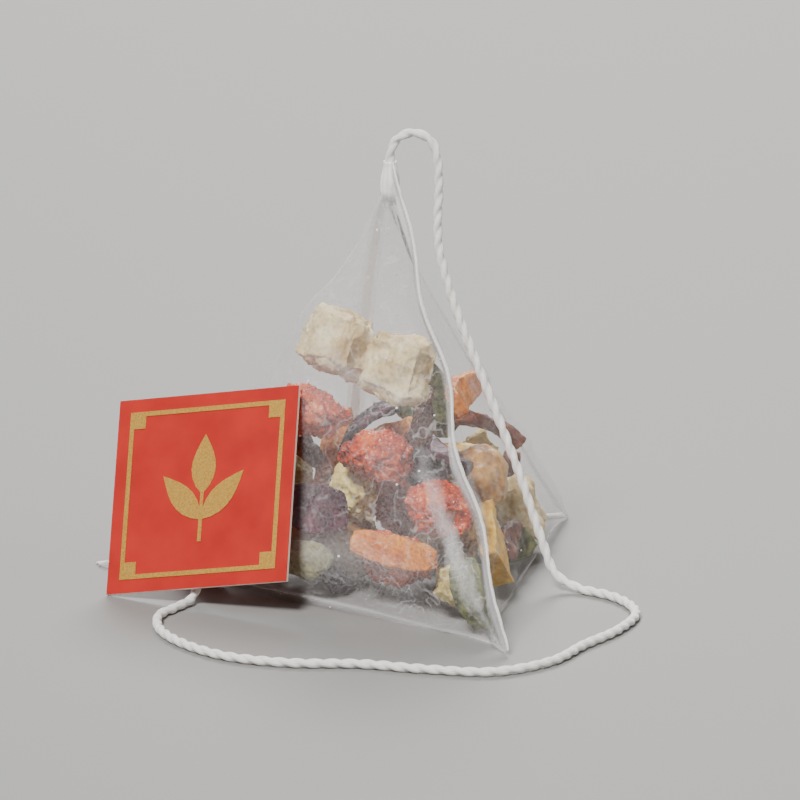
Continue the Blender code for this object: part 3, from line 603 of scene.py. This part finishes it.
def makeFabric():
    rows, flats = fabricRows()
    count = len(rows)
    faces = []
    for i in range(count - 1):
        a, b = i * around, (i + 1) * around
        for k in range(around):
            after = (k + 1) % around
            faces.append((a + k, b + k, b + after, a + after))
    half, quarter = around // 2, around // 4
    for k in range(-quarter, quarter):  # closes the foot seal
        ring = [k % around, (k + 1) % around, (half - k - 1) % around, (half - k) % around]
        faces.append(tuple(dict.fromkeys(ring)))
    last = (count - 1) * around
    for k in range(half):  # closes the front seal
        ring = [k, -k % around, (-k - 1) % around, k + 1]
        faces.append(tuple(last + i for i in dict.fromkeys(ring)))
    piece = meshPiece("sheerFabric", rows.reshape(-1, 3), faces)
    flat = piece.data.uv_layers.new(name="UVMap")
    spots = flats.reshape(-1, 2)
    for face in piece.data.polygons:
        corners = [spots[piece.data.loops[i].vertex_index] for i in face.loop_indices]
        furthest = max(x for x, y in corners)
        for loop, (x, y) in zip(face.loop_indices, corners):
            if furthest - x > lapLength / 2:  # the face that closes the lap
                x += lapLength
            flat.data[loop].uv = (x / lapLength, y / lapLength)
    made = bmesh.new()
    made.from_mesh(piece.data)
    bmesh.ops.recalc_face_normals(made, faces=made.faces[:])
    made.to_mesh(piece.data)
    made.free()
    wall = piece.modifiers.new("wall", "SOLIDIFY")
    wall.thickness = bag["fabric"]
    wall.offset = -1
    makeActive(piece)
    bpy.ops.object.modifier_apply(modifier=wall.name)
    sleeve = makeCollar()
    makeActive(piece)
    sleeve.select_set(True)
    bpy.ops.object.join()
    return piece


# finish of the fabric: its cover is 0 where it is clear and 1 where it is solid white
sheer = {
    "colour": (0.84, 0.815, 0.80),
    "weld": (0.98, 0.965, 0.92),
    "rough": 0.42,
    "sheen": 0.12,
    # cells of each pattern for a millimetre
    "web": 3.2, "fibres": 2.2, "cloud": 0.16, "glints": 0.30, "wander": 0.22, "crinkle": 0.24,
    "strandCover": 0.045,
    "haze": (0.010, 0.060),
    "cloudCover": (-0.015, 0.03),
    # painted glints: tiny white spots in the fabric's colour and cover that stand in for sparkles
    # of light
    "glintCover": 0.85,
    "foldCover": 0.22,
    "foldWidth": (0.00008, 0.0007),  # where it is full and where it ends
    "crinkleCover": 0.15,
    "longSealCover": 0.30,
    "longSealWidth": (0.0005, 0.0006),
    "longRootWidth": (0.0011, 0.0013),
    "rootCover": 0.26,  # where the end seals begin
    "rootWidth": 0.0010,
    "weldCover": 0.96,
    "weldWidth": (0.40, 0.80),  # shares of an end seal over which its weld begins
    "crimp": 0.55,  # millimetres from one crimp of a weld to the next
    "crimpCover": 0.10,
    "drift": 0.0050,  # how far the painted highlight streaks and the crinkles wander
    # painted highlights: whitish streaks of sheen along the folds, laid into the fabric's white
    # cover: middle around and along the tube in metres, angle in degrees, half length, half width
    # and strength
    "streaks": (
        ((0.0800, 0.0512), 84, 0.0150, 0.0015, 0.30),
        ((0.0700, 0.0530), 88, 0.0080, 0.0012, 0.30),
        ((0.0870, 0.0310), 30, 0.0190, 0.0030, 0.08),
        ((0.1050, 0.0440), 50, 0.0100, 0.0016, 0.12),
        ((0.0420, 0.0490), -84, 0.0110, 0.0016, 0.22),
        ((0.0200, 0.0300), -30, 0.0130, 0.0030, 0.15),
    ),
}
perMillimetre = lapLength * 1000  # texture scale that gives one cell for a millimetre


# grey between two places on the flat fabric, given in metres
def between(n, source, low, high, start, end):
    return n.grey(source, low, high, start / lapLength, end / lapLength)


# the flat map pushed about by slow noise
def wanderedMap(n, uv):
    scale = sheer["wander"] * perMillimetre
    drift = n.texture("Noise", scale, uv, Detail=3, Roughness=0.55).outputs["Color"]
    far = sheer["drift"] / lapLength
    offset = n.vector("MULTIPLY_ADD", drift, (far, far, 0.0), (-far / 2, -far / 2, 0.0))
    return n.vector("ADD", uv, offset["Vector"])["Vector"]


# a painted highlight: a soft whitish band of sheen that raises the fabric's white cover
def paintedHighlightStreak(n, uv, middle, angle, length, width, strength):
    place = (middle[0] / lapLength, middle[1] / lapLength, 0)
    scale = (width / lapLength, length / lapLength, 1)
    placed = n.mapping(uv, math.radians(angle), scale, place, "TEXTURE")
    away = n.vector("LENGTH", placed)["Value"]
    return n.math("MULTIPLY", n.grey(away, 1, 0, 0.1, 1.0), strength)


# the four soft folds run aslant over the flat tube
def foldLines(n, across, along):
    share = n.math("MULTIPLY", along, 0.25 * lapLength / faceDepth)
    lines = []
    for base, sign in ((0.25, -1), (0.25, 1), (0.75, -1), (0.75, 1)):
        middle = n.math("ADD", n.math("MULTIPLY", share, sign), base)
        off = n.math("ABSOLUTE", n.math("SUBTRACT", across, middle))
        lines.append(between(n, off, sheer["foldCover"], 0, *sheer["foldWidth"]))
    return n.largest(*lines)


# the long seal is down the middle of the back face, where the flat tube begins and ends
def longSeal(n, across):
    aside = n.math("PINGPONG", across, 0.5)
    seal = between(n, aside, sheer["longSealCover"], 0, *sheer["longSealWidth"])
    root = between(n, aside, sheer["longSealCover"], 0, *sheer["longRootWidth"])
    return n.total(seal, n.math("MULTIPLY", root, 0.4))


# fine crinkles, most of them towards the front seal
def crinkles(n, uv, along):
    scale = sheer["crinkle"] * perMillimetre
    waves = n.texture("Noise", scale, uv, Detail=2, Distortion=0.6).outputs["Fac"]
    ridge = n.math("ABSOLUTE", n.math("SUBTRACT", waves, 0.5))
    ridge = n.grey(ridge, sheer["crinkleCover"], 0, 0.001, 0.016)
    towardsFront = between(n, along, 0.2, 1, 0.45 * faceDepth, 0.95 * faceDepth)
    return n.math("MULTIPLY", ridge, towardsFront)


def endSeals(n, across, along):
    start, end = (share * bag["sealWidth"] for share in sheer["weldWidth"])
    footWeld = between(n, along, 1, 0, -end, -start)
    frontWeld = between(n, along, 0, 1, faceDepth + start, faceDepth + end)
    weld = n.largest(footWeld, frontWeld)
    crimps = n.math("MULTIPLY", across, 2 * math.pi * perMillimetre / sheer["crimp"])
    crimp = n.math("MULTIPLY", n.grey(n.math("SINE", crimps), 0, 1, -1, 1), weld)
    wide = sheer["rootWidth"]
    footRoot = between(n, along, sheer["rootCover"], 0, 0, wide)
    frontRoot = between(n, along, 0, sheer["rootCover"], faceDepth - wide, faceDepth)
    return weld, crimp, n.largest(frontRoot, footRoot)


def fabricFinish():
    n = Nodes("sheerNonwoven")
    uv = n.coords["UV"]
    wandered = wanderedMap(n, uv)
    split = n.add("ShaderNodeSeparateXYZ")
    n.put(split.inputs["Vector"], uv)
    across, along = split.outputs["X"], split.outputs["Y"]
    web = n.texture("Voronoi", sheer["web"] * perMillimetre, uv)
    web.feature = "DISTANCE_TO_EDGE"
    strand = n.grey(web.outputs["Distance"], 1, 0, 0.0, 0.20)
    scale = sheer["fibres"] * perMillimetre
    fibres = n.texture("Noise", scale, uv, Detail=4, Roughness=0.7).outputs["Fac"]
    scale = sheer["cloud"] * perMillimetre
    cloud = n.texture("Noise", scale, uv, Detail=2, Roughness=0.5).outputs["Fac"]
    # painted glints: small spots of nearly opaque white that stand in for sparkles of light
    glints = n.texture("Voronoi", sheer["glints"] * perMillimetre, uv).outputs["Distance"]
    paintedGlint = n.grey(glints, sheer["glintCover"], 0, 0.035, 0.055)
    # the painted highlight streaks, each a whitish band of sheen along a fold
    streaks = n.largest(*(paintedHighlightStreak(n, wandered, *values) for values in sheer["streaks"]))
    lines = n.largest(
        foldLines(n, across, along), longSeal(n, across), crinkles(n, wandered, along)
    )
    weld, crimp, roots = endSeals(n, across, along)
    cover = n.total(
        n.math("MULTIPLY", strand, sheer["strandCover"]),
        lines,
        n.grey(fibres, *sheer["haze"], 0.35, 0.68),
        n.grey(cloud, *sheer["cloudCover"], 0.3, 0.7),
        n.math("MULTIPLY", streaks, n.grey(fibres, 0.6, 1.2, 0.3, 0.7)),
    )
    welded = n.math("MULTIPLY", weld, sheer["weldCover"])
    welded = n.math("SUBTRACT", welded, n.math("MULTIPLY", crimp, sheer["crimpCover"]))
    # the colour turns white on the welds and at the painted glints
    n.set(
        colour=n.blend(n.largest(weld, paintedGlint), sheer["colour"], sheer["weld"]),
        alpha=n.largest(cover, paintedGlint, roots, welded),
        rough=sheer["rough"], sheen=sheer["sheen"], sheenRough=0.3, specular=0.5,
        normal=n.bump(crimp, 0.5, 0.00010, n.bump(fibres, 0.35, 0.00008)),
    )
    return n.material


sheerFabric = makeFabric()
sheerFabric.data.materials.append(fabricFinish())
print("bag made,", len(sheerFabric.data.polygons), "faces")


# filling: each piece of fruit starts from its CAD solid and is worked finer
# longest edge, rounds of smoothing, lumps and grain as (size, height), in metres
shapes = {
    "cream_cube": (0.00030, 4, (0.0027, 0.00085), (0.0008, 0.00028)),
    "golden_oval": (0.00040, 4, (0.0026, 0.00055), (0.0009, 0.00014)),
    "red_chunk": (0.00026, 5, (0.0024, 0.00055), (0.00085, 0.00055)),
    "green_twist": (0.00034, 4, (0.0024, 0.00040), (0.0006, 0.00012)),
    "lemon_wedge": (0.00034, 4, (0.0024, 0.00030), (0.0006, 0.00012)),
    "pale_lump": (0.00026, 4, (0.0019, 0.00085), (0.0007, 0.00020)),
    "orange_peel": (0.00030, 4, (0.0022, 0.00032), (0.0005, 0.00012)),
    "dark_petal": (0.00030, 3, (0.0018, 0.00026), (0.0006, 0.00006)),
    "brown_shred": (0.00028, 3, (0.0016, 0.00030), (0.0005, 0.00010)),
    "leaf_shred": (0.00028, 2, (0.0016, 0.00022), (0.0006, 0.00005)),
    "dark_bead": (0.00026, 3, (0.0012, 0.00035), (0.0005, 0.00010)),
}
mostOut = 0.0001  # how far any point may move outwards, so that the pieces stay apart


def workedPiece(name):
    longest, rounds, (lumpSize, lumpHeight), (grainSize, grainHeight) = shapes[kindOf(name)]
    made = bmesh.new()
    made.from_mesh(solids[name].data)
    bmesh.ops.remove_doubles(made, verts=made.verts[:], dist=1e-6)
    for _ in range(7):
        long = [e for e in made.edges if e.calc_length() > longest * 1.3]
        if not long:
            break
        bmesh.ops.subdivide_edges(made, edges=long, cuts=1)
        bmesh.ops.triangulate(made, faces=made.faces[:])
    for _ in range(rounds):
        bmesh.ops.smooth_vert(
            made, verts=made.verts[:], factor=0.5, use_axis_x=True, use_axis_y=True, use_axis_z=True
        )
    made.normal_update()
    shift = Vector((sum(map(ord, name)) * 0.37, name.count("e") * 2.1, 0))
    moves = []
    for vert in made.verts:
        lump = noise.noise(vert.co / lumpSize + shift) + 0.4 * noise.noise(vert.co / lumpSize * 2.3)
        near = noise.voronoi(vert.co / grainSize + shift)[0]
        grain = min(near[0] * 1.3, 1)
        out = lumpHeight * (lump - 0.35) - grainHeight * grain
        moves.append(vert.normal * min(out, mostOut))
    for vert, move in zip(made.verts, moves):
        vert.co += move
    mesh = bpy.data.meshes.new(name.replace("_", ""))
    made.to_mesh(mesh)
    made.free()
    mesh.shade_smooth()
    first, second, number = name.split("_")
    return addObject(first + second.capitalize() + number, mesh)


def fruitFinish(name, dark, middle, light, rough, grain, patch, bump, paintedSparkle):
    n = Nodes(name)
    broad = n.texture("Noise", patch, Detail=4, Roughness=0.6).outputs["Fac"]
    fine = n.texture("Voronoi", grain).outputs["Distance"]
    tone = n.ramp(broad, (0.32, dark), (0.52, middle), (0.70, light))
    tone = n.blend(n.grey(fine, 0.55, 0.0, 0.0, 0.6), tone, dark)
    # painted glints: near-white spots laid into the colour, standing in for sparkles of light
    if paintedSparkle:
        spots = n.texture("Voronoi", grain * 1.3).outputs["Distance"]
        tone = n.blend(n.grey(spots, paintedSparkle, 0, 0.10, 0.18), tone, (1.0, 0.90, 0.80))
    n.set(colour=tone, rough=rough, specular=0.4, normal=n.bump(fine, bump, 0.00025))
    return n.material


# dark, middle and light colour, then roughness, grains and patches for a metre, bump and painted
# glints
looks = {
    "cream_cube": (
        (0.50, 0.33, 0.12), (0.74, 0.60, 0.33), (0.86, 0.77, 0.53), 0.75, 1500, 230, 0.4, 0,
    ),
    "golden_oval": (
        (0.24, 0.09, 0.015), (0.54, 0.26, 0.05), (0.74, 0.46, 0.14), 0.45, 900, 260, 0.5, 0,
    ),
    "red_chunk": (
        (0.20, 0.010, 0.003), (0.58, 0.060, 0.008), (0.80, 0.19, 0.030), 0.38, 1300, 420, 0.8, 0.6,
    ),
    "green_twist": (
        (0.10, 0.09, 0.03), (0.28, 0.26, 0.11), (0.46, 0.43, 0.24), 0.8, 1600, 300, 0.5, 0,
    ),
    "lemon_wedge": (
        (0.46, 0.20, 0.010), (0.78, 0.44, 0.03), (0.88, 0.64, 0.14), 0.5, 1100, 300, 0.5, 0,
    ),
    "pale_lump": (
        (0.40, 0.27, 0.06), (0.76, 0.62, 0.22), (0.90, 0.80, 0.44), 0.8, 1600, 420, 0.6, 0,
    ),
    "orange_peel": (
        (0.46, 0.09, 0.004), (0.80, 0.25, 0.012), (0.90, 0.45, 0.06), 0.5, 1700, 320, 0.7, 0,
    ),
    "dark_petal": (
        (0.014, 0.002, 0.006), (0.055, 0.006, 0.020), (0.14, 0.02, 0.05), 0.5, 1200, 380, 0.4, 0,
    ),
    "brown_shred": (
        (0.05, 0.010, 0.004), (0.16, 0.035, 0.012), (0.34, 0.10, 0.025), 0.55, 1500, 420, 0.5, 0,
    ),
    "leaf_shred": (
        (0.035, 0.04, 0.008), (0.10, 0.11, 0.025), (0.22, 0.21, 0.06), 0.75, 1500, 380, 0.4, 0,
    ),
    "dark_bead": (
        (0.008, 0.003, 0.005), (0.03, 0.007, 0.011), (0.08, 0.018, 0.02), 0.3, 1300, 420, 0.4, 0,
    ),
}
finishes = {kind: fruitFinish(kind.replace("_", ""), *look) for kind, look in looks.items()}

fruit = {}
for nodeName in fillingNodes:
    fruit[nodeName] = workedPiece(nodeName)
    fruit[nodeName].data.materials.append(finishes[kindOf(nodeName)])
fruitFaces = sum(len(piece.data.polygons) for piece in fruit.values())
print("filling made,", len(fruit), "pieces,", fruitFaces, "faces")


# tag, its card and print are the CAD nodes themselves
tag = {
    "red": ((0.37, 0.008, 0.003), (0.46, 0.014, 0.006)),
    "core": (0.86, 0.78, 0.66),  # bare board at the cut edges
    "cardRough": 0.55,
    "gold": ((0.72, 0.36, 0.055), (0.90, 0.55, 0.13)),
    "goldRough": 0.32,
    "goldMetal": 0.75,
}


def cardNormal():
    points = np.array([v.co for v in solids["tag_card"].data.vertices])
    thinWay = np.linalg.svd(points - points.mean(axis=0))[2][2]
    return thinWay * (1 if thinWay @ (-1, -1, 1) > 0 else -1)


def cardFinish():
    n = Nodes("redCard")
    normal = tuple(float(x) for x in cardNormal())
    facing = n.vector("DOT_PRODUCT", n.coords["Normal"], normal)["Value"]
    onFace = n.grey(n.math("ABSOLUTE", facing), 0, 1, 0.5, 0.6)
    paper = n.texture("Noise", 2600, Detail=3).outputs["Fac"]
    worn = n.texture("Noise", 240, Detail=3).outputs["Fac"]
    dark, light = tag["red"]
    n.set(
        colour=n.blend(onFace, tag["core"], n.ramp(worn, (0.3, dark), (0.7, light))),
        rough=tag["cardRough"], specular=0.25, coat=0.08, coatRough=0.3,
        normal=n.bump(paper, 0.15, 0.00004),
    )
    return n.material


def foilFinish():
    n = Nodes("goldPrint")
    grain = n.texture("Noise", 5200, Detail=2).outputs["Fac"]
    dark, light = tag["gold"]
    n.set(
        colour=n.ramp(grain, (0.35, dark), (0.65, light)),
        rough=tag["goldRough"], metal=tag["goldMetal"], normal=n.bump(grain, 0.2, 0.00003),
    )
    return n.material


solids["tag_card"].material_slots[0].material = cardFinish()
goldPrint = foilFinish()
for nodeName in ("tag_foil_border", "tag_foil_sprig"):
    solids[nodeName].material_slots[0].material = goldPrint
print("tag finished")


# floor, backdrop and light
studio = {
    "floor": (0.25, 0.244, 0.235), "radius": 1.3, "cove": 0.5, "coveSteps": 12, "wall": 1.2,
    "world": 0.30,
    "sun": 5.4, "sunWidth": 16, "sunFrom": (-0.45, -0.40, 0.72),
    # place, size and power
    "fill": ((0.7, -0.5, 0.4), 0.6, 2.2),
    "rim": ((0.30, 0.65, 0.60), 0.4, 10),
}


# a flat floor whose rim curves up into a plain wall all around
def makeStudio():
    deselectAll()
    radius, cove = studio["radius"], studio["cove"]
    bpy.ops.mesh.primitive_circle_add(
        vertices=96, radius=radius, fill_type="NGON", location=(0, 0, 0)
    )
    floor = bpy.context.object
    floor.name = "floor"
    bpy.ops.object.mode_set(mode="EDIT")
    bpy.ops.mesh.select_mode(type="EDGE")
    bpy.ops.mesh.select_all(action="SELECT")
    turns = np.linspace(0, math.pi / 2, studio["coveSteps"] + 1)
    for a, b in zip(turns[:-1], turns[1:]):
        rise = cove * (math.cos(a) - math.cos(b))
        grow = (studio["radius"] + cove * math.sin(b)) / radius
        bpy.ops.mesh.extrude_edges_move(TRANSFORM_OT_translate={"value": (0, 0, rise)})
        bpy.ops.transform.resize(value=(grow, grow, 1), center_override=(0, 0, 0))
        radius *= grow
    bpy.ops.mesh.extrude_edges_move(TRANSFORM_OT_translate={"value": (0, 0, studio["wall"])})
    bpy.ops.object.mode_set(mode="OBJECT")
    floor.data.shade_smooth()
    n = Nodes("paleFloor")
    n.set(colour=studio["floor"], rough=0.6, specular=0.2)
    floor.data.materials.append(n.material)


def areaLight(name):
    place, size, power = studio[name]
    light = bpy.data.lights.new(name, "AREA")
    light.shape = "DISK"
    light.size, light.energy = size, power
    lamp = addObject(name, light)
    lamp.location = place
    aim(lamp, Vector((0, 0, 0.02)) - Vector(place))


def makeLights():
    sun = bpy.data.lights.new("key", "SUN")
    sun.energy, sun.angle = studio["sun"], math.radians(studio["sunWidth"])
    aim(addObject("key", sun), -Vector(studio["sunFrom"]))
    areaLight("fill")
    areaLight("rim")
    world = bpy.data.worlds.new("world")
    world.use_nodes = True
    background = world.node_tree.nodes["Background"].inputs
    background["Color"].default_value = (1, 1, 1, 1)
    background["Strength"].default_value = studio["world"]
    bpy.context.scene.world = world


makeStudio()
makeLights()
print("studio made")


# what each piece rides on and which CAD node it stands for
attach(cottonThread, body)
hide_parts("thread")
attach(sheerFabric, body)
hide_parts("bag_fabric")
for nodeName, piece in fruit.items():
    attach(piece, body)
    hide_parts(nodeName)
print("pieces joined to the frame")
